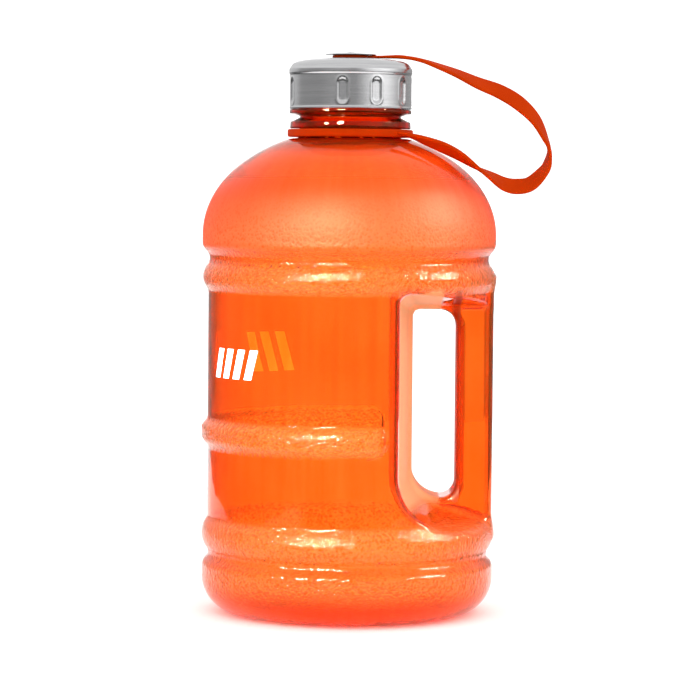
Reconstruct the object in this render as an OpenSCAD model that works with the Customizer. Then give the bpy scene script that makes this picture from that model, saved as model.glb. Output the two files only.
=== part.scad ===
// Large water jug with a moulded-in handle, a screw cap in a steel shell and a flat carry strap.
// Millimetres. The origin is the middle of the base, on the jug's axis. +Z is up and the handle is on +X.

/* [Jug body] */
// Outer radius of the plain wall
wall_r = 65; // [60:0.5:66]
// Wall thickness of the blown jug
wall_t = 1.4; // [1:0.1:2]
// Outer radius of the foot section under the lowest groove
foot_r = 67.4; // [67:0.1:68]
// Radius of the rounding at the foot
foot_round = 17; // [14:0.5:18]
// Height of the push-up in the middle of the base
push_up = 5; // [3:0.5:7]
// Horizontal half axis of the domed shoulder
dome_a = 67.7; // [67.5:0.1:68]
// Height of the plane that the dome starts from
dome_z = 174.5; // [173:0.5:176]
// Height of the dome above that plane
dome_b = 48.6; // [48:0.1:49]

/* [Handle] */
// Distance from the axis to the body side of the finger opening
hole_x0 = 29.5; // [28:0.5:31]
// Distance from the axis to the grip side of the finger opening
hole_x1 = 49.8; // [48:0.2:51]
// Lowest point of the finger opening
hole_z0 = 54.4; // [53:0.2:56]
// Highest point of the finger opening
hole_z1 = 141; // [139:0.5:142]
// Half of the grip's depth, front to back
grip_y = 14; // [12:0.5:15]
// Outer radius of the grip, flush with the beads
grip_r = 67.5; // [67:0.1:67.6]
// Rounding along the grip's edges
grip_round = 6; // [4:0.5:7]

/* [Neck and cap] */
// Radius of the mouth
mouth_r = 21.2; // [20:0.1:21.4]
// Height of the rim of the mouth
rim_z = 250; // [249.5:0.1:250]
// Lead of the screw thread: rise in one turn
thread_lead = 4.5; // [4.3:0.1:4.6]
// Outer radius of the cap's steel skirt
cap_r = 28; // [27.8:0.1:28.2]
// Height of the cap's lower edge
cap_z0 = 232.3; // [232.3:0.1:232.6]
// Steps round the cap at which a grip dimple is pressed
dimple_steps = 11; // [11:1:12]

/* [Strap] */
// Width of the strap
strap_w = 8.2; // [7:0.1:8.4]
// Thickness of the strap
strap_t = 1.8; // [1.4:0.1:2]

/* [Hidden] */

round_fn = 96;     // facets of a full circle, all rebuilt as true circles
arc_steps = 8;     // straight steps in a quarter round of an outline
bead_steps = 8;    // straight steps across a bead

jug_orange = [1.0, 0.36, 0.05, 0.6];
strap_orange = [0.83, 0.24, 0.0];
steel = [0.78, 0.78, 0.79];
liner_black = [0.08, 0.08, 0.085];
gasket_white = [0.92, 0.92, 0.9];

// Beads that run round the wall: [middle height, half width, how far they stand out]
lower_bead = [36.8, 7.4, 2.6];
upper_bead = [155.2, 6.2, 2.5];
middle_bead = [83.6, 6.2, 3.3];
middle_bead_gap = 74;   // the middle bead stops this many degrees from the handle, on both sides
groove_r = 64.5;        // both grooves are a little under the wall
lower_groove_z = 28.4;
upper_groove_z = 163;
groove_half = 1.2;      // half of the flat at the bottom of a groove
groove_side = 4.5;      // height over which a groove's outer side rises

hole_corners = [13, 3, 8.5, 7]; // corner radii of the finger opening, clockwise from the lower body side

// The recesses beside the grip, where they come out through the wall
recess_x0 = 22;
recess_z = [42, 150];
recess_y = 62;          // how far from the middle plane this outline lies
recess_gap = 1;         // left between the two recesses
recess_slope = 0.28;    // the floor falls this much for each millimetre outwards
recess_mouth_corner = [26, 5];  // lower and upper corner radius where it comes out through the wall

// Neck, from the dome up
neck_r = 23;
shoulder_r = 28.5;      // the dome ends here in a nearly flat ledge under the strap's collar
ledge_z = 219;
low_ring_r = 27.9;      // carries the strap's collar below it
low_ring_z = [223.3, 226.2];
notch = [22.6, 228.8];  // the V between the two rings
top_ring_r = 28.1;      // stands just under the cap
top_ring_z = [230.2, 232];
finish_r = 23.6;        // plain wall of the threaded neck

// Thread, as a trapezoid ridge
thread_depth = 1.3;
thread_root = 2.6;
thread_crest = 1.2;
thread_sink = 0.4;      // the ridge starts this deep in its wall
thread_sides = 40;      // steps in one turn
neck_thread_turns = 1.75;
neck_thread_z = 238.4;
liner_thread_turns = 1.5;

// Cap
shell_t = 0.6;
liner_r = 26.8;
liner_boss_r = 8;        // raised middle of the plate, which backs the steel round the rivet
liner_bore = 25.3;
liner_gap = 0.1;        // between the liner and the steel where they are pressed together
liner_plate_z = [251.4, 253.2];
shell_top_z = 255.7;
shell_flat_r = 12;
dimple = [6, 12.9, 240.9, 0.5];  // width, height, middle height, depth
dimple_first = -97.6;            // the first dimple's direction
dimple_plain = 10;               // the step that is left plain
rivet_r = 2;
rivet_hole_r = 2.15;
eye_z = [255.85, 256.95];
disc_r = 11.8;
disc_z = [257.05, 258.1];

// Strap
collar_z = [219.5, 223];
collar_r = [23.5, 28.9];
eye_r = 8.5;
tab_t = 1.1;
// The strap's middle line from the eye to the collar: x, y, z and its twist in degrees
strap_route = [
    [9, 0, 256.4, 0], [16, 0, 256.5, 0], [22, 0, 256.6, 1], [28, 0, 256, 3], [33, 0, 254.9, 5],
    [38, 0, 253.3, 6], [48.5, 0, 249.4, 9], [58.5, 1, 245, 20], [69, 2, 241, 40], [78, 3, 235.7, 50],
    [85.7, 4, 228.2, 33], [90.6, 4, 218.7, 13], [92, 3, 214, 0], [91.5, 3, 209.5, -14], [89.5, 2, 205, -30],
    [83.5, 0, 199, -50], [77, -3, 197.5, -57], [71, -6, 198.5, -45], [64.5, -10, 202, -22],
    [57.5, -14, 206, 0], [50, -17, 211, 12], [42.5, -19, 214.8, 20], [34.5, -19.5, 217.8, 16],
    [28, -18.5, 219.9, 6], [22.5, -15.5, 221.2, 0]
];
strap_split = 4;        // the route's point where the cap's part of the strap meets the hanging part
strap_gap = 0.3;
rings_per_span = 3;

function arc(c, r, a0, a1, n = arc_steps) =
    [for (i = [0:n]) let (a = a0 + (a1 - a0) * i / n) c + r * [cos(a), sin(a)]];

// A bead's outline from bottom to top, on a wall of radius r
function bead(b, r, n = bead_steps) =
    [for (i = [0:n]) let (u = 2 * i / n - 1) [r + b[2] * (1 - u * u), b[0] + u * b[1]]];

// Quarter of an ellipse from its widest point up to radius stop_r
function dome(a, b, stop_r, n = 12) =
    let (end = acos(stop_r / a)) [for (i = [0:n]) [a * cos(end * i / n), dome_z + b * sin(end * i / n)]];

// A rounded step from one radius to another
function ease(r0, z0, r1, z1, n = 4) =
    [for (i = [0:n]) let (s = 0.5 - 0.5 * cos(180 * i / n)) [r0 + (r1 - r0) * s, z0 + (z1 - z0) * i / n]];

// The wall from the foot to the dome, taken in by t
function side_outline(t) = concat(
    arc([foot_r - foot_round, foot_round], foot_round - t, -90, 0),
    ease(foot_r - t, lower_groove_z - groove_half - groove_side, groove_r - t, lower_groove_z - groove_half),
    [[groove_r - t, lower_groove_z + groove_half]],
    bead(lower_bead, wall_r - t),
    bead(upper_bead, wall_r - t),
    [[groove_r - t, upper_groove_z]],
    ease(groove_r - t, upper_groove_z + groove_half,
         dome_a - t, upper_groove_z + groove_half + groove_side + 1.5),
    dome(dome_a - t, dome_b - t, shoulder_r)
);

neck_outline = [
    [neck_r, ledge_z], [neck_r, low_ring_z[0]], [low_ring_r - 0.5, low_ring_z[0]],
    [low_ring_r, low_ring_z[0] + 0.6], [low_ring_r - 0.2, low_ring_z[1]], notch,
    [top_ring_r, top_ring_z[0]], [top_ring_r, top_ring_z[1] - 0.3], [top_ring_r - 0.3, top_ring_z[1]],
    [finish_r, top_ring_z[1]], [finish_r, rim_z - 0.6], [finish_r - 0.6, rim_z], [0, rim_z]
];

module outer_revolve() {
    foot_in = foot_r - foot_round - 6;
    rotate_extrude($fn = round_fn)
        polygon(concat(
            [[0, push_up], [foot_in - 18, push_up - 0.7], [foot_in - 2, 0.9], [foot_in, 0]],
            side_outline(0), neck_outline));
}

module inner_revolve() {
    foot_in = foot_r - foot_round - 6;
    rotate_extrude($fn = round_fn)
        polygon(concat(
            [[0, push_up + wall_t], [foot_in - 18, push_up - 0.7 + wall_t], [foot_in - 2, 0.9 + wall_t],
             [foot_in, wall_t]],
            side_outline(wall_t),
            [[mouth_r, ledge_z - wall_t], [mouth_r, rim_z + 1], [0, rim_z + 1]]));
}

// A bead that stops short of the handle on both sides. Its ends lie inside the wall.
module middle_bead_ring(t) {
    sink = 0.4;
    base = wall_r - t - sink;
    rise = [middle_bead[0], middle_bead[1], middle_bead[2] + sink];
    rotate([0, 0, middle_bead_gap])
        rotate_extrude(angle = 360 - 2 * middle_bead_gap, $fn = round_fn)
            polygon(concat([[base - 0.6, rise[0] - rise[1]]], bead(rise, base),
                           [[base - 0.6, rise[0] + rise[1]]]));
}

// Outline in X and Z, open towards +X. o is [x at the body side, lowest z, highest z, lower corner
// radius, upper corner radius]
function recess_outline(o, x1 = 80) = concat(
    [[x1, o[1] - recess_slope * (x1 - o[0] - o[3])]],
    arc([o[0] + o[3], o[1] + o[3]], o[3], 270, 180),
    arc([o[0] + o[4], o[2] - o[4]], o[4], 180, 90, 4),
    [[x1, o[2]]]);

module slab(outline, y) translate([0, y, 0]) rotate([90, 0, 0]) linear_extrude(0.01) polygon(outline);

// The recess in front of the grip, which opens towards the front, grown by t
module recess(t) {
    hull() {
        slab(recess_outline([hole_x0 - t, hole_z0 - t, hole_z1 + t,
                             hole_corners[0] + t, hole_corners[1] + t]), -recess_gap / 2);
        slab(recess_outline([recess_x0 - t, recess_z[0] - t, recess_z[1] + t,
                             recess_mouth_corner[0] + t, recess_mouth_corner[1] + t]), -recess_y);
    }
}

// Plan of the web that carries the grip, taken in by t
module web_plan(t) {
    x0 = 20;
    r = grip_round - t;
    y = grip_y - t;
    intersection() {
        circle(r = grip_r - t, $fn = round_fn);
        union() {
            translate([x0, -y]) square([grip_r - t - r - x0, 2 * y]);
            translate([x0, -y + r]) square([grip_r - t - x0, 2 * (y - r)]);
            for (s = [-1, 1]) translate([grip_r - t - r, s * (y - r)]) circle(r = r, $fn = 48);
        }
    }
}

// The finger opening, grown by t, as it is at the grip
module finger_hole(t) {
    x0 = hole_x0 - t;
    x1 = hole_x1 + t;
    z0 = hole_z0 - t;
    z1 = hole_z1 + t;
    r = [for (c = hole_corners) c + t];
    outline = concat(
        arc([x0 + r[0], z0 + r[0]], r[0], 270, 180),
        arc([x0 + r[1], z1 - r[1]], r[1], 180, 90, 4),
        arc([x1 - r[2], z1 - r[2]], r[2], 90, 0),
        arc([x1 - r[3], z0 + r[3]], r[3], 0, -90));
    translate([0, grip_y + 4, 0]) rotate([90, 0, 0]) linear_extrude(2 * grip_y + 8) polygon(outline);
}

// Body, recesses and grip as one closed form, taken in by t
module jug_form(t) {
    difference() {
        union() {
            difference() {
                union() {
                    if (t == 0) outer_revolve(); else inner_revolve();
                    middle_bead_ring(t);
                }
                recess(t);
                mirror([0, 1, 0]) recess(t);
            }
            translate([0, 0, lower_bead[0] + t])
                linear_extrude(upper_bead[0] - lower_bead[0] - 2 * t) web_plan(t);
        }
        finger_hole(t);
    }
}

// A helical ridge on a wall of radius r. side is 1 for a ridge that stands out and -1 for one that stands in.
module thread_ridge(r, z0, turns, side) {
    steps = round(turns * thread_sides);
    points = [for (i = [0:steps]) let (
            a = 360 * i / thread_sides,
            z = z0 + thread_lead * i / thread_sides,
            fade = min(1, 6 * min(i, steps - i) / thread_sides + 0.05),
            crest = r + side * thread_depth * fade,
            root = r - side * thread_sink)
        for (p = [[root, -thread_root / 2], [crest, -thread_crest / 2], [crest, thread_crest / 2],
                  [root, thread_root / 2]])
            [p[0] * cos(a), p[0] * sin(a), z + p[1]]];
    sides = [for (i = [0:steps - 1]) for (k = [0:3]) let (
            a = 4 * i + k, b = 4 * i + (k + 1) % 4, c = b + 4, d = a + 4)
        each side > 0 ? [[a, b, c], [a, c, d]] : [[c, b, a], [d, c, a]]];
    last = 4 * steps;
    ends = side > 0 ? [[3, 2, 1, 0], [last, last + 1, last + 2, last + 3]]
                    : [[0, 1, 2, 3], [last + 3, last + 2, last + 1, last]];
    polyhedron(points, concat(ends, sides));
}

module jug_body() color(jug_orange) union() {
    difference() {
        jug_form(0);
        jug_form(wall_t);
    }
    thread_ridge(finish_r, neck_thread_z, neck_thread_turns, 1);
}

module ring(r, z) {
    translate([0, 0, z[0]]) difference() {
        cylinder(r = r[1], h = z[1] - z[0], $fn = round_fn);
        translate([0, 0, -1]) cylinder(r = r[0], h = z[1] - z[0] + 2, $fn = round_fn);
    }
}

// Catmull-Rom point between p[i] and p[i + 1]
function spline(p, i, t) = let (
        a = p[max(i - 1, 0)], b = p[i], c = p[i + 1], d = p[min(i + 2, len(p) - 1)])
    0.5 * (2 * b + (c - a) * t + (2 * a - 5 * b + 4 * c - d) * t * t + (3 * b - a - 3 * c + d) * t * t * t);
function along(p) = concat(
    [for (i = [0:len(p) - 2]) for (k = [0:rings_per_span - 1]) spline(p, i, k / rings_per_span)],
    [p[len(p) - 1]]);
function xyz(p) = [p[0], p[1], p[2]];
function unit(v) = v / norm(v);

// A flat strap with eased edges, swept along points that also hold its twist
module strap_sweep(line, thick) {
    n = len(line);
    points = [for (i = [0:n - 1]) let (
            run = unit(xyz(line[min(i + 1, n - 1)]) - xyz(line[max(i - 1, 0)])),
            flat = unit(cross(cross(run, [0, 1, 0]), run)),
            up = cross(run, flat),
            wide = flat * cos(line[i][3]) + up * sin(line[i][3]),
            deep = cross(run, wide),
            w = strap_w / 2, t = thick[i] / 2)
        for (c = [[w - t, t], [w, t / 2], [w, -t / 2], [w - t, -t], [t - w, -t], [-w, -t / 2], [-w, t / 2],
                  [t - w, t]])
            xyz(line[i]) + wide * c[0] + deep * c[1]];
    sides = [for (i = [0:n - 2]) for (k = [0:7]) let (
            a = 8 * i + k, b = 8 * i + (k + 1) % 8, c = b + 8, d = a + 8)
        each [[a, b, c], [a, c, d]]];
    polyhedron(points, concat([[7, 6, 5, 4, 3, 2, 1, 0]], [[for (k = [0:7]) 8 * (n - 1) + k]], sides));
}

hanging = [for (i = [strap_split:len(strap_route) - 1]) strap_route[i]];
held = [for (i = [0:strap_split]) strap_route[i]];

module neck_strap() color(strap_orange) union() {
    ring(collar_r, collar_z);
    line = along(hanging);
    difference() {
        strap_sweep(line, [for (p = line) strap_t]);
        translate([0, -10, 240]) cube([hanging[0][0] + strap_gap, 20, 30]);
        cylinder(r = (collar_r[0] + collar_r[1]) / 2, h = 240, $fn = round_fn);
    }
}

module strap_eye() color(strap_orange) difference() {
    union() {
        translate([0, 0, eye_z[0]]) cylinder(r = eye_r, h = eye_z[1] - eye_z[0], $fn = round_fn);
        line = along(concat([[4, 0, 256.4, 0]], held));
        strap_sweep(line, [for (p = line)
            p[0] < 14 ? tab_t - 0.1 : min(strap_t, tab_t + (p[0] - 14) * 0.08)]);
    }
    translate([0, 0, eye_z[0] - 1]) cylinder(r = rivet_hole_r, h = 4, $fn = 48);
}

module rivet() color(steel) {
    head_r = 2.6;
    tail_r = 3.4;
    rotate_extrude($fn = 64)
        polygon(concat(
            [[0, 249.7], [tail_r - 0.6, 249.7], [tail_r, 250.1], [tail_r, 250.4], [rivet_r, 250.4],
             [rivet_r, disc_z[1] + 0.05]],
            [for (i = [0:4]) [head_r * cos(90 * i / 4), disc_z[1] + 0.05 + 0.5 * sin(90 * i / 4)]]));
}

module rivet_disc() color(steel) {
    rotate_extrude($fn = round_fn)
        polygon([[rivet_hole_r, disc_z[0]], [disc_r - 0.3, disc_z[0]], [disc_r, disc_z[0] + 0.2],
                 [disc_r - 0.1, disc_z[0] + 0.45], [9, disc_z[1] - 0.35], [6, disc_z[1] - 0.1],
                 [3.4, disc_z[1]], [rivet_hole_r, disc_z[1]]]);
}

module rivet_washer() color(steel) ring([rivet_hole_r, 6], [250.45, 251.3]);

// The place of each dimple, with one step left plain
dimple_angles = [for (i = [0:dimple_steps - 1]) if (i != dimple_plain) dimple_first + 360 / dimple_steps * i];

// A stadium-shaped plug that stands in the cap's side at direction 0, from radius r0 to r1
module dimple_plug(grow, r0, r1) {
    r = dimple[0] / 2 + grow;
    half = dimple[1] / 2 - dimple[0] / 2;
    translate([r0, 0, dimple[2]]) rotate([90, 0, 90]) linear_extrude(r1 - r0) union() {
        square([2 * r, 2 * half], center = true);
        for (s = [-1, 1]) translate([0, s * half]) circle(r = r, $fn = 32);
    }
}

// The steel shell's outline, outside then inside
module shell_profile() {
    t = shell_t;
    bead_r = cap_r + 0.4;
    polygon(concat(
        [[cap_r - t, cap_z0], [cap_r + 0.1, cap_z0], [cap_r + 0.2, cap_z0 + 0.4], [cap_r, cap_z0 + 1.2],
         [cap_r, 247.9], [bead_r - 0.1, 248.7], [bead_r, 249.6]],
        arc([bead_r - 3.6, 250.3], 3.6, 0, 78, 6),
        [[19, 255.1], [shell_flat_r, shell_top_z], [rivet_hole_r, shell_top_z],
         [rivet_hole_r, shell_top_z - t], [shell_flat_r, shell_top_z - t], [19, 255.1 - t]],
        arc([bead_r - 3.6, 250.3], 3.6 - t, 78, 0, 6),
        [[bead_r - t, 249.6], [bead_r - t - 0.1, 248.9], [cap_r - t, 248.1]]));
}

module cap_shell() color(steel) difference() {
    union() {
        rotate_extrude($fn = round_fn) shell_profile();
        intersection() {
            ring([cap_r - shell_t - dimple[3], cap_r - shell_t / 2], [cap_z0 + 1, 248]);
            union() {
                for (a = dimple_angles) rotate([0, 0, a]) dimple_plug(0.5, 20, 28);
            }
        }
    }
    difference() {
        union() {
            for (a = dimple_angles) rotate([0, 0, a]) dimple_plug(0, 20, 32);
        }
        cylinder(r = cap_r - dimple[3], h = 260, $fn = round_fn);
    }
}

module cap_liner() color(liner_black) union() {
    rotate_extrude($fn = round_fn)
        polygon([[liner_bore, cap_z0 + 0.4], [cap_r - shell_t - liner_gap, cap_z0 + 0.4],
                 [cap_r - shell_t - liner_gap, cap_z0 + 1.4], [liner_r, cap_z0 + 1.8],
                 [liner_r, liner_plate_z[1] - 2], [liner_r - 2, liner_plate_z[1]],
                 [liner_boss_r + 1.5, liner_plate_z[1]], [liner_boss_r, shell_top_z - shell_t - liner_gap],
                 [rivet_hole_r, shell_top_z - shell_t - liner_gap], [rivet_hole_r, liner_plate_z[0]],
                 [liner_bore, liner_plate_z[0]]]);
    rotate([0, 0, 180])
        thread_ridge(liner_bore, neck_thread_z, liner_thread_turns, -1);   // half a turn on: midway between
}

module cap_gasket() color(gasket_white) ring([20.8, 24.9], [rim_z + 0.1, liner_plate_z[0]]);

jug_body();
neck_strap();
strap_eye();
rivet();
rivet_disc();
rivet_washer();
cap_shell();
cap_liner();
cap_gasket();
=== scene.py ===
"""Looks of the water jug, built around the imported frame.

The mesh code works in millimetres, in the frame's own axes, and new_piece() turns them into metres.
"""

import math

import bpy
import numpy as np
from mathutils import Matrix, Vector


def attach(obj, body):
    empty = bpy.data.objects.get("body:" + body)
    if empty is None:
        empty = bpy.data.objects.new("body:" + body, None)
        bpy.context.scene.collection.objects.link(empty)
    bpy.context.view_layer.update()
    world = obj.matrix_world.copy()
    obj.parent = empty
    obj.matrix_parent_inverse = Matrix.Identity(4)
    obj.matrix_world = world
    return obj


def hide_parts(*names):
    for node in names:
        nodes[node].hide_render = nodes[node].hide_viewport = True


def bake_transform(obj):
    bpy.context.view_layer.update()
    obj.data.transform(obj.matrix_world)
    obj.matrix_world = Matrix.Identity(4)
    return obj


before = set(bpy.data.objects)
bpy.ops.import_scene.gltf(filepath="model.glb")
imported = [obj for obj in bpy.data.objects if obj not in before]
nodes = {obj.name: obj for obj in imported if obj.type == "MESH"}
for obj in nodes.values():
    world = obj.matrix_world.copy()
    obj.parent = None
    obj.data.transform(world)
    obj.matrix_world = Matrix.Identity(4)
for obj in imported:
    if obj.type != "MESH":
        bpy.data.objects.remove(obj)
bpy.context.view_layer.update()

MM = 0.001

# ---------------------------------------------------------------- sizes, in millimetres

# Jug
WALL_R = 65.0
WALL_T = 1.4
GROOVE_R = 64.5
FOOT_R = 67.4
FOOT_ROUND = 17.0
PUSH_UP = 5.0
PUSH_UP_R = 45.0
FOOT_TOP, FOOT_SLACK = 30, 0.3          # above this height the foot's edge steps out to clear the lowest bead
DOME_A, DOME_B, DOME_Z = 67.7, 48.6, 174.5
LOWER_GROOVE_Z = (22.7, 27.2, 29.6)     # start of the slope, its end, end of the groove
UPPER_GROOVE_Z = (161.2, 164.2, 170.2)  # start of the groove, start of the slope, its end
BEADS = ((36.8, 7.4, 2.6), (155.2, 6.2, 2.5))   # middle height, half width, rise
MIDDLE_BEAD = (83.6, 6.2, 3.3)
MIDDLE_BEAD_FULL = math.radians(77.7)   # it has its full height this far from the handle on both sides
MIDDLE_BEAD_END = 4.2                   # length of its rounded end
LEDGE_Z = 218.9

# Handle
HOLE_X = (29.5, 49.8)
HOLE_Z = (54.4, 141.0)
HOLE_CORNERS = (14.0, 3.0, 8.5, 7.0)    # body side low and high, then grip side high and low
RECESS_Y = 62.0                         # where the recess has its outline in the wall
RECESS_GROWTH = (7.5, 12.4, 9.0)        # how far it has widened there towards the body, the foot and the dome
RECESS_RAMP = (36.0, 0.28)              # its floor falls towards the grip from here, and how steeply
RECESS_LOW_CORNER = (13.0, 13.0)        # corner radius at the opening, and how much it has grown at the wall
RECESS_HIGH_CORNER = (3.0, 2.0)
GRIP_X, GRIP_R, GRIP_Y, GRIP_ROUND = 20.0, 67.5, 14.0, 6.0
GRIP_EDGE, GRIP_END_EDGE = 2.5, 3.0

# How far the edges are rounded where the jug's parts meet
FOOT_EDGE, RECESS_EDGE, GRIP_JOIN, HOLE_EDGE, LEDGE_EDGE, NECK_JOIN = 1.0, 2.2, 3.5, 3.2, 1.0, 0.8
NECK_STARTS = 200.0                     # the neck's form only counts above this height

# Neck
NECK_R = 23.0
SEAM_Z = 221.5
MOUTH_R = 21.2
FINISH_R = 23.6
RIM_Z = 250.0
RIM_ROUND = 0.7
FINISH_Z = 236.0                        # the plain foot of the threaded part ends here
# The neck outside, with its two rings, from the seam up: radius, height and corner radius
NECK_OUTLINE = (
    (NECK_R, SEAM_Z), (NECK_R, 223.3, 0.3), (27.9, 223.3, 0.5), (27.7, 226.4, 0.5), (22.6, 228.8, 0.35),
    (28.1, 230.2, 0.3), (28.1, 232, 0.35), (FINISH_R, 232, 0.3), (FINISH_R, FINISH_Z),
)
THREAD_Z, THREAD_LEAD, THREAD_TURNS, THREAD_DEPTH = 238.4, 4.5, 1.75, 1.3
THREAD_ROOT, THREAD_CREST = 2.6, 1.2
THREAD_RUNOUT = 6                       # each end rises over this part of a turn: one sixth

# Cap
CAP_R, CAP_Z0, CAP_TOP_Z, CAP_T = 28.0, 232.3, 255.7, 0.6
CAP_BEAD_R = 28.4
RIVET_HOLE_R = 2.15
DIMPLE_W, DIMPLE_H, DIMPLE_Z, DIMPLE_DEPTH = 4.8, 11.8, 240.4, 0.5
DIMPLE_STEPS, DIMPLE_FIRST, DIMPLE_PLAIN = 11, -97.6, 10
DIMPLE_SLOPE = (-1.0, 0.2)              # its side runs between these distances from its outline
DIMPLE_LIP = (0.16, 0.4, 0.36)          # the raised edge: height, distance outside the outline, width
DISC_R, DISC_Z = 11.8, (257.05, 258.1)

# Strap
STRAP_W, STRAP_T, TAB_T = 8.2, 1.8, 1.1
STRAP_INSET = 0.08                      # the band is this much thinner than the CAD's, to stay inside its box
TAB_X = (14.0, 23.0)                    # the band grows from the tab's thickness to its own between these
SPAN_STEPS, TAB_SPANS = 8, 5            # steps between two points of the route; spans the tab reaches over
COLLAR_R, COLLAR_Z = (23.5, 28.9), (219.5, 223.0)
EYE_R, EYE_Z = 8.5, (255.85, 256.95)
# The strap's middle line from the eye to the collar, x, y, z as in the CAD, and its twist in degrees
STRAP_ROUTE = (
    (4, 0, 256.4, 0), (9, 0, 256.4, 0), (16, 0, 256.5, 0), (22, 0, 256.6, 1), (28, 0, 256, 3),
    (33, 0, 254.9, 5), (38, 0, 253.3, 10), (48.5, 0, 249.4, 22), (58.5, 1, 245, 37), (69, 2, 241, 51),
    (78, 3, 235.7, 53), (85.7, 4, 228.2, 36), (90.6, 4, 218.7, 13), (92, 3, 214, 0), (91.5, 3, 209.5, -14),
    (89.5, 2, 205, -30), (83.5, 0, 199, -50), (77, -3, 197.5, -57), (71, -6, 198.5, -45),
    (64.5, -10, 202, -22), (57.5, -14, 206, 4), (50, -17, 211, 24), (42.5, -19, 214.8, 30),
    (34.5, -19.5, 217.8, 20), (28, -18.5, 219.9, 6), (22.5, -15.5, 221.2, 0),
)

# Printed motif: a bar's start along the wall from the -X side, its width, its foot and its top
INK_GAP, INK_T, BAR_SLANT = 0.05, 0.12, 0.3
BARS = [(start, 4.6, 110.0, 123.4) for start in (26.0, 34.0, 42.0, 50.0)]
BARS += [(start, 5.4, 108.0, 127.0) for start in (-75.0, -66.0, -57.0)]

# ---------------------------------------------------------------- small helpers


def new_piece(name, points, faces):
    """A smooth mesh object from points in millimetres."""
    mesh = bpy.data.meshes.new(name)
    mesh.from_pydata((np.asarray(points) * MM).tolist(), [], [list(map(int, f)) for f in faces])
    mesh.shade_smooth()
    piece = bpy.data.objects.new(name, mesh)
    bpy.context.scene.collection.objects.link(piece)
    return piece


def paint(piece, material):
    piece.data.materials.clear()
    piece.data.materials.append(material)


def rounded(outline, closed=False, steps=4):
    """A polyline of (r, z, corner radius), with its corners rounded."""
    points = [np.array(p[:2], float) for p in outline]
    radii = [p[2] if len(p) > 2 else 0 for p in outline]
    count = len(points)
    out = []
    for i, (p, radius) in enumerate(zip(points, radii)):
        if radius == 0 or (not closed and i in (0, count - 1)):
            out.append(p)
            continue
        a, b = points[i - 1] - p, points[(i + 1) % count] - p
        la, lb = np.linalg.norm(a), np.linalg.norm(b)
        a, b = a / la, b / lb
        half = 0.5 * math.acos(max(-1.0, min(1.0, float(a @ b))))
        cut = min(radius / math.tan(half), 0.49 * la, 0.49 * lb)
        radius = cut * math.tan(half)
        centre = p + (a + b) / np.linalg.norm(a + b) * radius / math.sin(half)
        start, end = p + a * cut - centre, p + b * cut - centre
        turn = math.atan2(start[0] * end[1] - start[1] * end[0], float(start @ end))
        for k in range(steps + 1):
            c, s = math.cos(turn * k / steps), math.sin(turn * k / steps)
            out.append(centre + np.array([c * start[0] - s * start[1], s * start[0] + c * start[1]]))
    return np.array(out)


def split_long(outline, longest):
    """The same outline with no step longer than the given length."""
    out = [outline[0]]
    for a, b in zip(outline[:-1], outline[1:]):
        n = max(1, math.ceil(np.linalg.norm(b - a) / longest))
        out += [a + (b - a) * k / n for k in range(1, n + 1)]
    return np.array(out)


def closed_rows(corners, steps, longest):
    """The points round a closed outline of (r, z, corner radius)."""
    outline = rounded(corners, closed=True, steps=steps)
    return split_long(np.concatenate([outline, outline[:1]]), longest)[:-1]


def grid_faces(rows, columns, wrap_rows=False):
    """Quads of a grid that closes round its columns, outward when the rows run up the outside."""
    faces = []
    for i in range(rows if wrap_rows else rows - 1):
        for j in range(columns):
            a, b = i * columns + j, i * columns + (j + 1) % columns
            up = (i + 1) % rows * columns - i * columns
            faces.append((a, b, b + up, a + up))
    return faces


def end_faces(count, columns):
    """The first and the last row of a grid with that many points, each as one face."""
    return [list(range(columns))[::-1], [count - columns + j for j in range(columns)]]


def revolve(name, outline, columns, reshape=None):
    """A ring-shaped solid from a closed outline of (r, z) that runs anticlockwise, seen with +Z up."""
    angle = np.arange(columns) * 2 * math.pi / columns
    r = np.repeat(outline[:, :1], columns, axis=1)
    z = np.repeat(outline[:, 1:], columns, axis=1)
    theta = np.repeat(angle[None], len(outline), axis=0)
    if reshape:
        r = reshape(r, theta, z)
    points = np.stack([r * np.cos(theta), r * np.sin(theta), z], axis=-1).reshape(-1, 3)
    return new_piece(name, points, grid_faces(len(outline), columns, wrap_rows=True))


def unit(rows):
    return rows / np.linalg.norm(rows, axis=-1, keepdims=True)


def ease(x, x0, x1):
    """0 up to x0, 1 from x1, and a smooth step between."""
    t = np.clip((x - x0) / (x1 - x0), 0, 1)
    return t * t * (3 - 2 * t)


# ---------------------------------------------------------------- the jug's form as a distance field


def smax(a, b, k):
    """The larger of a and b, with the edge between them rounded over about k."""
    h = np.maximum(k - np.abs(a - b), 0) / k
    return np.maximum(a, b) + h * h * k / 4


def smin(a, b, k):
    """The smaller of a and b, rounded the same way."""
    return -smax(-a, -b, k)


def corner(p, q, r):
    """Distance to the quarter plane p, q < 0, with its corner rounded to radius r."""
    p, q = p + r, q + r
    return np.hypot(np.maximum(p, 0), np.maximum(q, 0)) + np.minimum(np.maximum(p, q), 0) - r


def wall_radius(z):
    """The wall's outer radius between the foot and the dome, with its beads and grooves."""
    r = np.full_like(z, WALL_R)
    for middle, half, rise in BEADS:
        r += rise * np.maximum(0, 1 - ((z - middle) / half) ** 2)
    z0, z1, z2 = LOWER_GROOVE_Z
    r = np.where(z < z2, GROOVE_R + (FOOT_R - GROOVE_R) * (1 - ease(z, z0, z1)), r)
    z0, z1, z2 = UPPER_GROOVE_Z
    r = np.where(z > z0, GROOVE_R + (DOME_A - GROOVE_R) * ease(z, z1, z2), r)
    blur = np.hanning(15)[1:-1]
    return np.convolve(np.pad(r, 6, mode="edge"), blur / blur.sum(), "valid")


WALL_Z = np.arange(-10, 240, 0.1)
WALL_TABLE = wall_radius(WALL_Z)
WALL_SLOPE = np.sqrt(1 + np.gradient(WALL_TABLE, WALL_Z) ** 2)


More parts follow.
